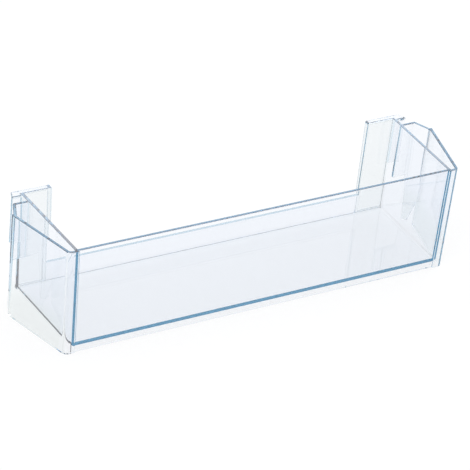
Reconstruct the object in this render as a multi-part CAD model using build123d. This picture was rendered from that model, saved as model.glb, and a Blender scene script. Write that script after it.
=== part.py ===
"""Fridge door shelf, moulded in one piece of clear plastic.

X runs along the shelf, +Y is towards the door, +Z is up. The origin is the middle of the bottom.
While it is drawn, y is counted back from the front wall's face.
"""
import os
from math import cos, radians, tan

from build123d import *

# Overall sizes, mm
LENGTH = 450.0
DEPTH = 111.4
HEIGHT = 108.0
WALL = 3.0

# Tray
FLOOR_TOP = 9.2          # above the bottom rim of the skirt
FLOOR_THICKNESS = 3.5
END_INSET = 28.6         # end wall's middle at the front, in from the shelf's widest point
END_SPLAY = 3.6          # the end walls open towards the back by this much
END_DRAFT = 2.1          # and, with the brackets, towards the rim by this much
BACK_INSET = 7.5         # front of the back lip and ears at the floor, in from the back
BACK_LEAN = 1.5          # the lip and ears lean back by this much up to the rim
LIP_HEIGHT = 19.4        # above the floor
FLOOR_RADIUS = 0.5       # inside the tray
FOOT_RADIUS = 4.0        # outside, under the end walls
RIM_RADIUS = 0.6

# Ears on the back
EAR_TOP_WIDTH = 29.8     # in from the end wall's middle
EAR_FOOT_WIDTH = 32.0
EAR_BORDER = 1.3         # how far the border stands behind the ear at the floor
EAR_CORNER = 1.5

# End brackets
SPLAY_DEG = 14.6         # outer wall, from straight back
OUTER_TAIL = 3.5         # the outer wall goes on past the tongue by this much
OUTER_HEEL = 3.0         # rounding of its lower back corner
CORNER_RADIUS = 6.0      # front corners, outside
CORNER_STEP = 1.4        # the front corners stand before the front wall by this much
CATCH_INSET = 19.8       # middle of the catch wall that sits on the door's lug, in from the back
CATCH_WIDTH = 15.2       # out from the end wall's middle
CATCH_FOOT = 49.7        # lower edge of the catch wall
TONGUE_RUN = 18.7        # the slanting tongue comes forward by this much from the catch wall
TONGUE_NECK = 32.0       # the tongue is free of the outer wall below this
TONGUE_TIP = 1.5         # height of its lower end
TONGUE_TIP_WIDTH = 5.7
TONGUE_TIP_INSET = 2.7   # lower end, in from the catch wall's corner
CHANNEL_WIDTH = 9.2      # clear width of the lug channel
POST_WIDTH = 11.3        # wall behind the channel, out from the end wall's middle
POST_TAPER = 2.3         # its roof narrows by this much towards the back
POST_FOOT = 59.3

FLOOR_LOW = FLOOR_TOP - FLOOR_THICKNESS
HALF = LENGTH / 2
SPLAY = tan(radians(SPLAY_DEG))
RISE = HEIGHT - FLOOR_TOP
BACK = DEPTH - CORNER_STEP
BACK_FOOT = BACK - BACK_INSET
CATCH_Y = BACK - CATCH_INSET
TONGUE_Y = CATCH_Y - TONGUE_RUN
OUTER_REACH = TONGUE_Y + OUTER_TAIL
POST_Y = CATCH_Y + WALL / 2 + CHANNEL_WIDTH
BIG = LENGTH
NEAR = 0.05              # a point this close to a face counts as on it


def lean(z):
    """How far in from their place at the rim the end walls and brackets are at a height."""
    return END_DRAFT * (HEIGHT - z) / RISE


def end_x(y, z=HEIGHT):
    """Middle of the end wall."""
    return HALF - END_INSET + END_SPLAY * y / BACK - lean(z)


def outer_x(y, inset=0.0):
    """Outside of the bracket's outer wall at the rim, or a face set in from it."""
    return HALF - SPLAY * (OUTER_REACH - y) - inset / cos(radians(SPLAY_DEG))


def back_front(z):
    """Front face of the lip and ears, which lean back a little."""
    return BACK_FOOT + BACK_LEAN * (z - FLOOR_TOP) / RISE


def back_edge(z):
    """Back of the ears' borders."""
    foot = BACK_FOOT + WALL + EAR_BORDER
    return foot + (BACK - foot) * (z - FLOOR_TOP) / RISE


def ear_x(z):
    """Inner edge of the ear."""
    width = EAR_FOOT_WIDTH + (EAR_TOP_WIDTH - EAR_FOOT_WIDTH) * (z - FLOOR_TOP) / RISE
    return end_x(BACK_FOOT) - width


def upright(points, low, high):
    """Prism standing on a plan outline."""
    return Pos(0, 0, low) * extrude(make_face(Polyline(*points, close=True)), high - low, dir=(0, 0, 1))


def along_x(points, start, stop):
    """Prism along X with an outline in y and z."""
    outline = Polyline(*[(start, y, z) for y, z in points], close=True)
    return extrude(make_face(outline), stop - start, dir=(1, 0, 0))


def along_y(points, start, stop):
    """Prism along Y with an outline in x and z."""
    outline = Polyline(*[(x, start, z) for x, z in points], close=True)
    return extrude(make_face(outline), stop - start, dir=(0, 1, 0))


def leaning(face):
    """Prism from the bottom to the rim, where a face drawn in plan is its place at the rim."""
    rise = Vector(lean(0), 0, HEIGHT)
    return Pos(-lean(0), 0, 0) * extrude(face, rise.length, dir=rise)


def bracket():
    """Front corner and outer wall, one bent strip."""
    outside = FilletPolyline(
        (end_x(0) - WALL / 2, -CORNER_STEP),
        (outer_x(-CORNER_STEP), -CORNER_STEP),
        (HALF, OUTER_REACH),
        radius=CORNER_RADIUS,
    )
    strip = leaning(make_face(offset(outside, WALL, side=Side.LEFT)))
    heel = strip.edges().group_by(Axis.Z)[0].sort_by(Axis.Y)[-1]
    return fillet(heel, OUTER_HEEL)


def inboard(shift):
    """Everything inboard of the end wall's middle, or of a face moved out from it."""
    front, back = (end_x(-CORNER_STEP) + shift, -CORNER_STEP), (end_x(BACK) + shift, BACK)
    return leaning(make_face(Polyline((0, -CORNER_STEP), front, back, (0, BACK), close=True)))


def end_slab(side):
    """Piece of the leaning wall between the tray and the bracket, with an outline in y and z."""
    return (inboard(WALL / 2) - inboard(-WALL / 2)) & along_x(side, 0, HALF)


def tray_end():
    """End wall from the front to the ear, and the floor, rounded where they meet underneath."""
    wall = end_slab([
        (WALL / 2, FLOOR_LOW),
        (back_front(FLOOR_LOW) + WALL, FLOOR_LOW),
        (back_front(HEIGHT) + WALL, HEIGHT),
        (WALL / 2, HEIGHT),
    ])
    floor = upright(
        [
            (0, WALL / 2),
            (end_x(0, FLOOR_TOP), WALL / 2),
            (end_x(BACK_FOOT, FLOOR_TOP), BACK_FOOT + WALL / 2),
            (0, BACK_FOOT + WALL / 2),
        ],
        FLOOR_LOW,
        FLOOR_TOP,
    )
    corner = wall + floor
    edge = corner.edges().sort_by_distance((end_x(BACK / 2, FLOOR_LOW) + WALL / 2, BACK / 2, FLOOR_LOW))[0]
    return fillet(edge, FOOT_RADIUS)


def ear():
    """Ear with a border round its top, inner edge and foot, open to the back."""
    low = FLOOR_LOW
    side = [
        (back_front(low), low),
        (back_front(HEIGHT), HEIGHT),
        (back_edge(HEIGHT), HEIGHT),
        (back_edge(low), low),
    ]
    face = [(ear_x(low), low), (ear_x(HEIGHT), HEIGHT), (HALF, HEIGHT), (HALF, low)]
    body = along_x(side, 0, HALF) & along_y(face, 0, BIG) & inboard(WALL / 2)
    corner = body.edges().filter_by(Axis.Y, tolerance=45).sort_by_distance((ear_x(HEIGHT), BACK, HEIGHT))[0]
    body = fillet(corner, EAR_CORNER)
    roof = HEIGHT - WALL
    hollow_side = [
        (back_front(FLOOR_TOP) + WALL, FLOOR_TOP),
        (back_front(roof) + WALL, roof),
        (BIG, roof),
        (BIG, FLOOR_TOP),
    ]
    hollow_face = [
        (ear_x(FLOOR_TOP) + WALL, FLOOR_TOP),
        (ear_x(roof) + WALL, roof),
        (BIG, roof),
        (BIG, FLOOR_TOP),
    ]
    return body - (along_x(hollow_side, 0, BIG) & along_y(hollow_face, 0, BIG))


def post():
    """Wall behind the lug channel, with a roof that carries on the ear's top."""
    wide = end_x(POST_Y) + POST_WIDTH
    root = end_x(POST_Y, POST_FOOT)
    inner = POST_Y + WALL
    wall = upright([(root, POST_Y), (wide, POST_Y), (wide, inner), (root, inner)], POST_FOOT, HEIGHT)
    top = [(root, POST_Y), (wide, POST_Y), (wide - POST_TAPER, BACK), (root, BACK)]
    return wall + upright(top, HEIGHT - WALL, HEIGHT)


def catch():
    """Wall across the back of the bracket, and the slanting tongue between it and the outer wall."""
    corner = Vector(end_x(CATCH_Y) + CATCH_WIDTH, CATCH_Y)
    neck = Vector(outer_x(TONGUE_Y, WALL / 2), TONGUE_Y)
    root = end_x(CATCH_Y, CATCH_FOOT)
    low_y, high_y = CATCH_Y - WALL / 2, CATCH_Y + WALL / 2
    cross = upright([(root, low_y), (corner.X, low_y), (corner.X, high_y), (root, high_y)], CATCH_FOOT, HEIGHT)
    run = corner - neck
    width = run.length
    tip = width - TONGUE_TIP_INSET
    slip = lean(TONGUE_NECK) * width / (SPLAY * run.Y - run.X)
    shape = Polyline(
        (0, HEIGHT),
        (width, HEIGHT),
        (width, CATCH_FOOT),
        (tip, TONGUE_TIP),
        (tip - TONGUE_TIP_WIDTH, TONGUE_TIP),
        (slip, TONGUE_NECK),
        close=True,
    )
    across = Vector(0, 0, 1).cross(run)
    plane = Plane(origin=neck - across.normalized() * WALL / 2, x_dir=run, z_dir=run.cross(Vector(0, 0, 1)))
    tongue = extrude(plane * make_face(shape), WALL, dir=across)
    joint = Pos(corner.X, corner.Y, (CATCH_FOOT + HEIGHT) / 2) * Cylinder(WALL / 2, HEIGHT - CATCH_FOOT)
    return cross + tongue + joint


def in_tray(point):
    """True on the tray's floor line and in its four upright corners."""
    x, y, z = abs(point.X), point.Y, point.Z
    wall = abs(x - end_x(y, z) + WALL / 2) < NEAR
    ends = abs(y - WALL) < NEAR or abs(y - back_front(z)) < NEAR
    on_floor = abs(z - FLOOR_TOP) < NEAR and y < BACK_FOOT + NEAR
    return on_floor or (z > FLOOR_TOP and wall and ends)


front = along_y([(0, 0), (end_x(0, 0), 0), (end_x(0), HEIGHT), (0, HEIGHT)], 0, WALL)
post_front = WALL / 2 - CORNER_STEP
corner_post = end_slab([(post_front, 0), (WALL, 0), (WALL, HEIGHT), (post_front, HEIGHT)])
lip_top = FLOOR_TOP + LIP_HEIGHT
lip = along_x(
    [
        (back_front(FLOOR_LOW), FLOOR_LOW),
        (back_front(lip_top), lip_top),
        (back_front(lip_top) + WALL, lip_top),
        (back_front(FLOOR_LOW) + WALL, FLOOR_LOW),
    ],
    0,
    ear_x(FLOOR_LOW) + WALL,
)
behind = along_x([(back_edge(0), 0), (back_edge(BIG), BIG), (BIG, BIG), (BIG, 0)], 0, HALF)

half = front + corner_post + bracket() + tray_end() + lip + catch() + (ear() + post() - behind)
shelf = half + mirror(half, about=Plane.YZ)

# Roundings: the tray's inside corners, then the top rim
inside = shelf.edges().filter_by(lambda e: in_tray(e @ 0) and in_tray(e @ 1) and in_tray(e @ 0.5))
shelf = fillet(inside, FLOOR_RADIUS)
rim = shelf.edges().filter_by_position(Axis.Z, HEIGHT - NEAR, HEIGHT + NEAR)
shelf = fillet(rim, RIM_RADIUS)
shelf = Pos(0, -shelf.bounding_box().center().Y, 0) * shelf

os.makedirs("parts", exist_ok=True)
shelf.label = "door_shelf"
export_step(shelf, "parts/door_shelf.step")
print("solids", len(shelf.solids()), "volume", round(shelf.volume), "size", shelf.bounding_box().size)
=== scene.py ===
"""Fridge door shelf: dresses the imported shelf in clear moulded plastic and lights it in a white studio."""
import math

import bpy
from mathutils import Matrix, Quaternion, Vector


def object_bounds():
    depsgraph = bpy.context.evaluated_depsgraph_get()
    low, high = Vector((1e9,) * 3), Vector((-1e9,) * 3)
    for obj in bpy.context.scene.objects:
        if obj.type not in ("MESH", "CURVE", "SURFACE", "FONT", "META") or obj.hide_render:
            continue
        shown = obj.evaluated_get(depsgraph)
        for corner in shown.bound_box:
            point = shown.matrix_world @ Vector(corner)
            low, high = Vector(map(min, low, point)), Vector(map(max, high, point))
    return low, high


bl_info = {
    "name": "Fridge door shelf",
    "version": (1, 0, 0),
    "blender": (4, 5, 0),
    "location": "View3D > Sidebar > Door shelf",
    "description": "Dresses a fridge door shelf in clear plastic and sets up a white studio round it",
    "category": "Object",
}

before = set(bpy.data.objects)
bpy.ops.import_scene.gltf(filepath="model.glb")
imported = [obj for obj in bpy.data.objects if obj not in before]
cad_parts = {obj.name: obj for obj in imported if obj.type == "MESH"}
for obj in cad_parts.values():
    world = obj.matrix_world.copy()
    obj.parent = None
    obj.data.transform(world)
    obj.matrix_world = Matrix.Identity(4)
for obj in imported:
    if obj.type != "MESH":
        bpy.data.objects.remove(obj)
CAD_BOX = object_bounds()
LOW, HIGH = CAD_BOX
SHELF = "door_shelf"

RIPPLE_DETAIL = 1.0      # octaves of noise in the moulding ripples
MARK_DETAIL = 5.0        # octaves of noise in the handling marks
MARK_ROUGHNESS = 0.6     # weight of each finer octave of the marks
FROST_ROUGHNESS = 1.0    # the frosted rim scatters light all round
FLOOR_GAP = 0.0005       # the floor lies this far under the shelf, so that their faces stay apart
LIGHT_BOUNCES = 160      # light runs far inside a clear wall before it leaves by an edge


class PlasticSettings(bpy.types.PropertyGroup):
    """Clear plastic of the shelf."""

    tint: bpy.props.FloatVectorProperty(
        name="Tint",
        description="Colour that a long way through the plastic takes on",
        subtype="COLOR",
        size=3,
        min=0.0,
        max=1.0,
        default=(0.0, 0.45, 0.655),
    )
    tint_density: bpy.props.FloatProperty(
        name="Tint density",
        description="How fast the tint builds up, for each metre through the plastic",
        default=18.5,
        min=0.0,
    )
    wall_tint: bpy.props.FloatVectorProperty(
        name="Wall tint",
        description="Colour of white light that has come through one wall's two faces",
        subtype="COLOR",
        size=3,
        min=0.0,
        max=1.0,
        default=(1.0, 0.987, 1.0),
    )
    # Painted shade: the ears pass less white light than the walls, standing in for the greyer, shaded
    # backdrop seen through them.
    ear_painted_shade: bpy.props.FloatVectorProperty(
        name="Ear painted shade",
        description="The same for the two ears, which are a little less clear",
        subtype="COLOR",
        size=3,
        min=0.0,
        max=1.0,
        default=(0.948, 0.948, 0.943),
    )
    ear_inset: bpy.props.FloatProperty(
        name="Ear inset",
        description="How far in from the shelf's ends the ears reach",
        default=0.0575,
        min=0.0,
        subtype="DISTANCE",
        unit="LENGTH",
        precision=4,
    )
    ear_depth: bpy.props.FloatProperty(
        name="Ear depth",
        description="How far forward from the shelf's back the ears reach",
        default=0.0082,
        min=0.0,
        subtype="DISTANCE",
        unit="LENGTH",
        precision=4,
    )
    # Painted shade: the brackets' lower part passes less light and is darker towards the floor, standing in
    # for the shelf's shadow on the floor seen through it.
    foot_painted_shade: bpy.props.FloatVectorProperty(
        name="Foot painted shade",
        description="The same for the lower part of the brackets",
        subtype="COLOR",
        size=3,
        min=0.0,
        max=1.0,
        default=(0.942, 0.948, 0.938),
    )
    # Heights where the painted shade on the brackets' feet fades out.
    foot_shade_fade: bpy.props.FloatVectorProperty(
        name="Foot shade fade",
        description="Heights where the foot tint begins to fade and where it ends",
        size=2,
        min=0.0,
        default=(0.028, 0.042),
        unit="LENGTH",
        precision=4,
    )
    bracket_width: bpy.props.FloatProperty(
        name="Bracket width",
        description="How far in from the shelf's ends the brackets reach, up to the end walls",
        default=0.0225,
        min=0.0,
        subtype="DISTANCE",
        unit="LENGTH",
        precision=4,
    )
    refraction: bpy.props.FloatProperty(
        name="Refractive index",
        description="Index of refraction of the plastic",
        default=1.57,
        min=1.0,
    )
    polish: bpy.props.FloatProperty(
        name="Polish roughness",
        description="Roughness of the cleanest faces",
        default=0.01,
        min=0.0,
        max=1.0,
        subtype="FACTOR",
    )
    haze: bpy.props.FloatProperty(
        name="Haze roughness",
        description="Roughness that handling marks add",
        default=0.05,
        min=0.0,
        max=1.0,
        subtype="FACTOR",
    )
    mark_size: bpy.props.FloatProperty(
        name="Mark size",
        description="Distance from one handling mark to the next",
        default=0.055,
        min=0.001,
        subtype="DISTANCE",
        unit="LENGTH",
    )
    mark_span: bpy.props.FloatVectorProperty(
        name="Mark span",
        description="Levels of the noise where a mark begins and where it is full",
        size=2,
        min=0.0,
        max=1.0,
        default=(0.5, 0.8),
    )
    outer_frost: bpy.props.FloatProperty(
        name="Outer rim frost",
        description="How frosted the top rim of the front wall and the brackets is",
        default=0.28,
        min=0.0,
        max=1.0,
        subtype="FACTOR",
    )
    inner_frost: bpy.props.FloatProperty(
        name="Inner rim frost",
        description="How frosted the top rim of the end walls and the ears is",
        default=0.65,
        min=0.0,
        max=1.0,
        subtype="FACTOR",
    )
    front_depth: bpy.props.FloatProperty(
        name="Front depth",
        description="How far behind the shelf's foremost face the end walls' rims begin",
        default=0.0044,
        min=0.0,
        subtype="DISTANCE",
        unit="LENGTH",
        precision=4,
    )
    rim_colour: bpy.props.FloatVectorProperty(
        name="Rim colour",
        description="Colour of the frosting",
        subtype="COLOR",
        size=3,
        min=0.0,
        max=1.0,
        default=(0.93, 0.95, 1.0),
    )
    rim_depth: bpy.props.FloatProperty(
        name="Rim depth",
        description="How far down from the top the frosting goes",
        default=0.0006,
        min=0.0,
        subtype="DISTANCE",
        unit="LENGTH",
        precision=5,
    )
    ripple: bpy.props.FloatProperty(
        name="Flow ripple",
        description="Depth of the slow waves that moulding leaves in the faces",
        default=0.00002,
        min=0.0,
        subtype="DISTANCE",
        unit="LENGTH",
        precision=6,
    )
    ripple_size: bpy.props.FloatProperty(
        name="Ripple size",
        description="Distance from one ripple to the next",
        default=0.03,
        min=0.001,
        subtype="DISTANCE",
        unit="LENGTH",
    )


class StudioSettings(bpy.types.PropertyGroup):
    """Floor, light and camera."""

    floor_size: bpy.props.FloatProperty(
        name="Floor size",
        description="Side of the white floor",
        default=30.0,
        min=1.0,
        subtype="DISTANCE",
        unit="LENGTH",
    )
    floor_paint: bpy.props.FloatVectorProperty(
        name="Floor paint",
        description="Colour that the floor gives back from the lamps",
        subtype="COLOR",
        size=3,
        min=0.0,
        max=1.0,
        default=(0.12, 0.12, 0.12),
    )
    floor_lift: bpy.props.FloatProperty(
        name="Floor lift",
        description="White that the floor adds where it is seen, straight, mirrored or through the plastic",
        default=0.884,
        min=0.0,
    )
    sky_low: bpy.props.FloatVectorProperty(
        name="Wall of the studio",
        description="Colour round the horizon",
        subtype="COLOR",
        size=3,
        min=0.0,
        max=1.0,
        default=(1.0, 1.0, 1.0),
    )
    sky_high: bpy.props.FloatVectorProperty(
        name="Ceiling of the studio",
        description="Colour overhead",
        subtype="COLOR",
        size=3,
        min=0.0,
        max=1.0,
        default=(0.5, 0.55, 0.7),
    )
    sky_edge: bpy.props.FloatVectorProperty(
        name="Wall to ceiling",
        description="Sines of the heights where the wall's colour ends and the ceiling's begins",
        size=2,
        min=0.0,
        max=1.0,
        default=(0.6, 0.9),
    )
    key_place: bpy.props.FloatVectorProperty(
        name="Key place",
        description="Middle of the softbox on the left",
        subtype="TRANSLATION",
        unit="LENGTH",
        size=3,
        default=(-1.6, -0.8, 2.6),
    )
    key_watts: bpy.props.FloatProperty(
        name="Key softbox",
        description="Watts of the softbox on the left",
        default=30.0,
        min=0.0,
        unit="POWER",
    )
    fill_place: bpy.props.FloatVectorProperty(
        name="Fill place",
        description="Middle of the softbox on the right",
        subtype="TRANSLATION",
        unit="LENGTH",
        size=3,
        default=(1.8, 0.6, 2.4),
    )
    fill_watts: bpy.props.FloatProperty(
        name="Fill softbox",
        description="Watts of the softbox on the right",
        default=20.0,
        min=0.0,
        unit="POWER",
    )
    softbox_size: bpy.props.FloatProperty(
        name="Softbox size",
        description="Side of each softbox",
        default=1.6,
        min=0.01,
        subtype="DISTANCE",
        unit="LENGTH",
    )
    azimuth: bpy.props.FloatProperty(
        name="Azimuth",
        description="Camera's bearing from straight in front",
        default=math.radians(-33.01),
        subtype="ANGLE",
    )
    elevation: bpy.props.FloatProperty(
        name="Elevation",
        description="Camera's height over the horizon",
        default=math.radians(31.72),
        subtype="ANGLE",
    )
    roll: bpy.props.FloatProperty(
        name="Roll",
        description="Turn of the camera about its own view",
        default=math.radians(6.43),
        subtype="ANGLE",
    )
    distance: bpy.props.FloatProperty(
        name="Distance",
        description="Camera to the aimed point",
        default=2.334,
        min=0.1,
        subtype="DISTANCE",
        unit="LENGTH",
    )
    aim: bpy.props.FloatVectorProperty(
        name="Aim",
        description="Point in the middle of the picture",
        subtype="TRANSLATION",
        unit="LENGTH",
        size=3,
        default=(0.0112, 0.0188, 0.0344),
    )
    lens: bpy.props.FloatProperty(
        name="Lens",
        description="Focal length on a 36 mm sensor, in millimetres",
        default=189.2,
        min=1.0,
        subtype="DISTANCE_CAMERA",
        unit="CAMERA",
    )


def rgba(colour):
    """A colour as a socket takes it, with full alpha."""
    return (*colour, 1.0)


def give(tree, socket, value):
    """Links another socket to a socket, or sets a plain value on it."""
    if isinstance(value, bpy.types.NodeSocket):
        tree.links.new(value, socket)
    else:
        socket.default_value = value


def add_node(tree, kind, x, y, **inputs):
    """Adds a node and gives its named sockets their links or values."""
    node = tree.nodes.new(kind)
    node.location = (x, y)
    for name, value in inputs.items():
        give(tree, node.inputs[name.replace("_", " ")], value)
    return node


def math_node(tree, operation, x, y, *values):
    """Adds a math node fed by sockets or plain numbers, and gives its output."""
    node = add_node(tree, "ShaderNodeMath", x, y)
    node.operation = operation
    for socket, value in zip(node.inputs, values):
        give(tree, socket, value)
    return node.outputs["Value"]


def mix_node(tree, x, y, share, first, second):
    """Adds a mix of two colours by a share of the second, and gives its output."""
    node = add_node(tree, "ShaderNodeMixRGB", x, y, Fac=share, Color1=first, Color2=second)
    return node.outputs["Color"]


def ramp_node(tree, x, y, value, span, levels):
    """Adds a map of a value's span onto a pair of levels, and gives its output."""
    node = add_node(tree, "ShaderNodeMapRange", x, y, Value=value)
    node.inputs["From Min"].default_value, node.inputs["From Max"].default_value = span
    node.inputs["To Min"].default_value, node.inputs["To Max"].default_value = levels
    return node.outputs["Result"]


def new_material(name):
    """Adds a material with an empty node tree, and gives both."""
    material = bpy.data.materials.new(name)
    material.use_nodes = True
    material.node_tree.nodes.clear()
    return material, material.node_tree


def moulding_ripple(tree, place, settings):
    """Normals of slow waves in the faces."""
    noise = add_node(
        tree,
        "ShaderNodeTexNoise",
        -600,
        -200,
        Vector=place,
        Scale=1.0 / settings.ripple_size,
        Detail=RIPPLE_DETAIL,
    )
    height = noise.outputs["Fac"]
    bump = add_node(tree, "ShaderNodeBump", -50, -200, Strength=1.0, Distance=settings.ripple, Height=height)
    return bump.outputs["Normal"]


def handling_marks(tree, place, settings):
    """Roughness of polished faces with faint marks."""
    noise = add_node(
        tree,
        "ShaderNodeTexNoise",
        -600,
        150,
        Vector=place,
        Scale=1.0 / settings.mark_size,
        Detail=MARK_DETAIL,
        Roughness=MARK_ROUGHNESS,
    )
    levels = (settings.polish, settings.polish + settings.haze)
    return ramp_node(tree, -300, 150, noise.outputs["Fac"], settings.mark_span, levels)


def wall_tint_and_painted_shade(tree, spot, reach, inboard, settings):
    """Tint of the walls, with painted shade on the ears and on the brackets' lower part, darker towards the
    floor.
    """
    outside = math_node(tree, "GREATER_THAN", -200, 1250, reach, HIGH.x - settings.ear_inset)
    far_back = math_node(tree, "GREATER_THAN", -200, 1050, spot["Y"], HIGH.y - settings.ear_depth)
    on_end = math_node(tree, "MULTIPLY", 0, 1250, outside, inboard)
    ear_shade_mask = math_node(tree, "MULTIPLY", 0, 1050, on_end, far_back)
    outboard = math_node(tree, "SUBTRACT", -200, 1450, 1.0, inboard)
    # Painted shade on the brackets' feet: full low down, fading out higher up.
    low = ramp_node(tree, -200, 1650, spot["Z"], settings.foot_shade_fade, (1.0, 0.0))
    foot_shade_mask = math_node(tree, "MULTIPLY", 0, 1450, outboard, low)
    # Painted shade on the ears, mixed into the walls' tint.
    upper = mix_node(tree, 200, 1050, ear_shade_mask, rgba(settings.wall_tint), rgba(settings.ear_painted_shade))
    return mix_node(tree, 400, 1050, foot_shade_mask, upper, rgba(settings.foot_painted_shade))


def rim_frost(tree, spot, inboard, settings):
    """Frosting of the top rim, stronger on the end walls and ears."""
    rim = math_node(tree, "GREATER_THAN", -400, 450, spot["Z"], HIGH.z - settings.rim_depth)
    behind = math_node(tree, "GREATER_THAN", -200, 650, spot["Y"], LOW.y + settings.front_depth)
    inner = math_node(tree, "MULTIPLY", 0, 750, inboard, behind)
    rise = settings.inner_frost - settings.outer_frost
    level = math_node(tree, "MULTIPLY_ADD", 0, 600, inner, rise, settings.outer_frost)
    return math_node(tree, "MULTIPLY", 200, 450, rim, level)


def clear_plastic(settings):
    """Clear polished plastic, tinted, rippled, faintly marked and frosted along the top rim."""
    material, tree = new_material("clear_plastic")
    place = add_node(tree, "ShaderNodeTexCoord", -900, 0).outputs["Object"]
    spot = add_node(tree, "ShaderNodeSeparateXYZ", -600, 450, Vector=place).outputs
    reach = math_node(tree, "ABSOLUTE", -400, 850, spot["X"])
    inboard = math_node(tree, "LESS_THAN", -200, 850, reach, HIGH.x - settings.bracket_width)
    plastic = add_node(
        tree,
        "ShaderNodeBsdfPrincipled",
        600,
        100,
        Base_Color=wall_tint_and_painted_shade(tree, spot, reach, inboard, settings),
        Roughness=handling_marks(tree, place, settings),
        IOR=settings.refraction,
        Normal=moulding_ripple(tree, place, settings),
        Transmission_Weight=1.0,
        Sheen_Weight=rim_frost(tree, spot, inboard, settings),
        Sheen_Roughness=FROST_ROUGHNESS,
        Sheen_Tint=rgba(settings.rim_colour),
    )
    inside = add_node(
        tree,
        "ShaderNodeVolumeAbsorption",
        600,
        -350,
        Color=rgba(settings.tint),
        Density=settings.tint_density,
    )
    add_node(
        tree,
        "ShaderNodeOutputMaterial",
        900,
        0,
        Surface=plastic.outputs["BSDF"],
        Volume=inside.outputs["Volume"],
    )
    return material


def white_floor(settings):
    """Pale floor that reads as white to the eye and through the plastic, and keeps the shelf's shadow."""
    material, tree = new_material("white_floor")
    path = add_node(tree, "ShaderNodeLightPath", -600, 0).outputs
    direct = math_node(tree, "MAXIMUM", -400, 0, path["Is Camera Ray"], path["Is Transmission Ray"])
    seen = math_node(tree, "MAXIMUM", -200, -100, direct, path["Is Glossy Ray"])
    strength = math_node(tree, "MULTIPLY", 0, -100, seen, settings.floor_lift)
    paint = add_node(tree, "ShaderNodeBsdfDiffuse", 200, 100, Color=rgba(settings.floor_paint))
    lift = add_node(tree, "ShaderNodeEmission", 200, -100, Strength=strength)
    both = add_node(tree, "ShaderNodeAddShader", 400, 0)
    give(tree, both.inputs[0], paint.outputs["BSDF"])
    give(tree, both.inputs[1], lift.outputs["Emission"])
    add_node(tree, "ShaderNodeOutputMaterial", 600, 0, Surface=both.outputs["Shader"])
    return material


def studio_world(settings):
    """White walls and a darker ceiling, so that clear edges stand out from any side."""
    world = bpy.data.worlds.new("studio")
    world.use_nodes = True
    tree = world.node_tree
    tree.nodes.clear()
    place = add_node(tree, "ShaderNodeTexCoord", -1000, 0).outputs["Generated"]
    height = add_node(tree, "ShaderNodeSeparateXYZ", -800, 0, Vector=place).outputs["Z"]
    ramp = add_node(tree, "ShaderNodeValToRGB", -600, 0, Fac=height)
    colours = (settings.sky_low, settings.sky_high)
    for element, edge, colour in zip(ramp.color_ramp.elements, settings.sky_edge, colours):
        element.position = edge
        element.color = rgba(colour)
    sky = add_node(tree, "ShaderNodeBackground", -200, 0, Color=ramp.outputs["Color"], Strength=1.0)
    add_node(tree, "ShaderNodeOutputWorld", 0, 0, Surface=sky.outputs["Background"])
    return world


def add_floor(scene, settings):
    """White square under the shelf."""
    half = settings.floor_size / 2
    corners = [(-half, -half, 0), (half, -half, 0), (half, half, 0), (-half, half, 0)]
    mesh = bpy.data.meshes.new("floor")
    mesh.from_pydata(corners, [], [(0, 1, 2, 3)])
    mesh.materials.append(white_floor(settings))
    floor = bpy.data.objects.new("floor", mesh)
    floor.location.z = -FLOOR_GAP
    scene.collection.objects.link(floor)


def add_softbox(scene, name, place, watts, size):
    """Square lamp that faces the shelf."""
    lamp = bpy.data.lights.new(name, "AREA")
    lamp.size = size
    lamp.energy = watts
    softbox = bpy.data.objects.new(name, lamp)
    softbox.location = place
    softbox.rotation_mode = "QUATERNION"
    softbox.rotation_quaternion = Vector(place).to_track_quat("Z", "Y")
    scene.collection.objects.link(softbox)


def add_camera(scene, settings):
    """Camera at its bearing and height, turned to the aimed point."""
    back = Vector((
        math.sin(settings.azimuth) * math.cos(settings.elevation),
        -math.cos(settings.azimuth) * math.cos(settings.elevation),
        math.sin(settings.elevation),
    ))
    data = bpy.data.cameras.new("camera")
    data.lens = settings.lens
    camera = bpy.data.objects.new("camera", data)
    camera.location = Vector(settings.aim) + back * settings.distance
    camera.rotation_mode = "QUATERNION"
    camera.rotation_quaternion = back.to_track_quat("Z", "Y") @ Quaternion((0, 0, 1), settings.roll)
    scene.collection.objects.link(camera)
    scene.camera = camera


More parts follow.
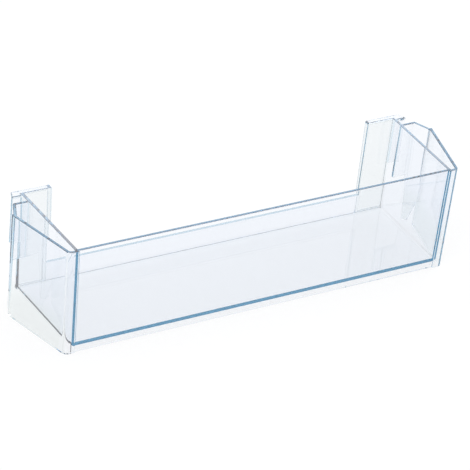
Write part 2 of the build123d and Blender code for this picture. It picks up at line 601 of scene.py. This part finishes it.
class SHELF_OT_dress_moulding(bpy.types.Operator):
    """Gives the shelf its clear plastic"""

    bl_idname = "shelf.dress_moulding"
    bl_label = "Dress moulding"

    def execute(self, context):
        material = clear_plastic(context.scene.shelf_plastic)
        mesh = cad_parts[SHELF].data
        mesh.materials.clear()
        mesh.materials.append(material)
        return {"FINISHED"}


class SHELF_OT_build_studio(bpy.types.Operator):
    """Builds the floor, the lights and the camera"""

    bl_idname = "shelf.build_studio"
    bl_label = "Build studio"

    def execute(self, context):
        scene = context.scene
        settings = scene.shelf_studio
        add_floor(scene, settings)
        scene.world = studio_world(settings)
        add_softbox(scene, "key_softbox", settings.key_place, settings.key_watts, settings.softbox_size)
        add_softbox(scene, "fill_softbox", settings.fill_place, settings.fill_watts, settings.softbox_size)
        add_camera(scene, settings)
        scene.view_settings.view_transform = "Standard"
        scene.cycles.max_bounces = LIGHT_BOUNCES
        scene.cycles.transmission_bounces = LIGHT_BOUNCES
        scene.cycles.glossy_bounces = LIGHT_BOUNCES
        return {"FINISHED"}


class SHELF_PT_panel(bpy.types.Panel):
    """Settings and steps of the shelf"""

    bl_idname = "SHELF_PT_panel"
    bl_label = "Door shelf"
    bl_space_type = "VIEW_3D"
    bl_region_type = "UI"
    bl_category = "Door shelf"

    def draw(self, context):
        layout = self.layout
        for group in (context.scene.shelf_plastic, context.scene.shelf_studio):
            for name in group.__annotations__:
                layout.prop(group, name)
        layout.operator(SHELF_OT_dress_moulding.bl_idname)
        layout.operator(SHELF_OT_build_studio.bl_idname)


CLASSES = (PlasticSettings, StudioSettings, SHELF_OT_dress_moulding, SHELF_OT_build_studio, SHELF_PT_panel)


def register():
    """Registers the classes and hangs the settings on the scene."""
    for cls in CLASSES:
        bpy.utils.register_class(cls)
    bpy.types.Scene.shelf_plastic = bpy.props.PointerProperty(type=PlasticSettings)
    bpy.types.Scene.shelf_studio = bpy.props.PointerProperty(type=StudioSettings)


def unregister():
    """Takes the settings and the classes away again."""
    del bpy.types.Scene.shelf_studio
    del bpy.types.Scene.shelf_plastic
    for cls in reversed(CLASSES):
        bpy.utils.unregister_class(cls)


def main():
    """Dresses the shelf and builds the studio."""
    register()
    bpy.ops.shelf.dress_moulding()
    bpy.ops.shelf.build_studio()


if __name__ == "__main__":
    main()
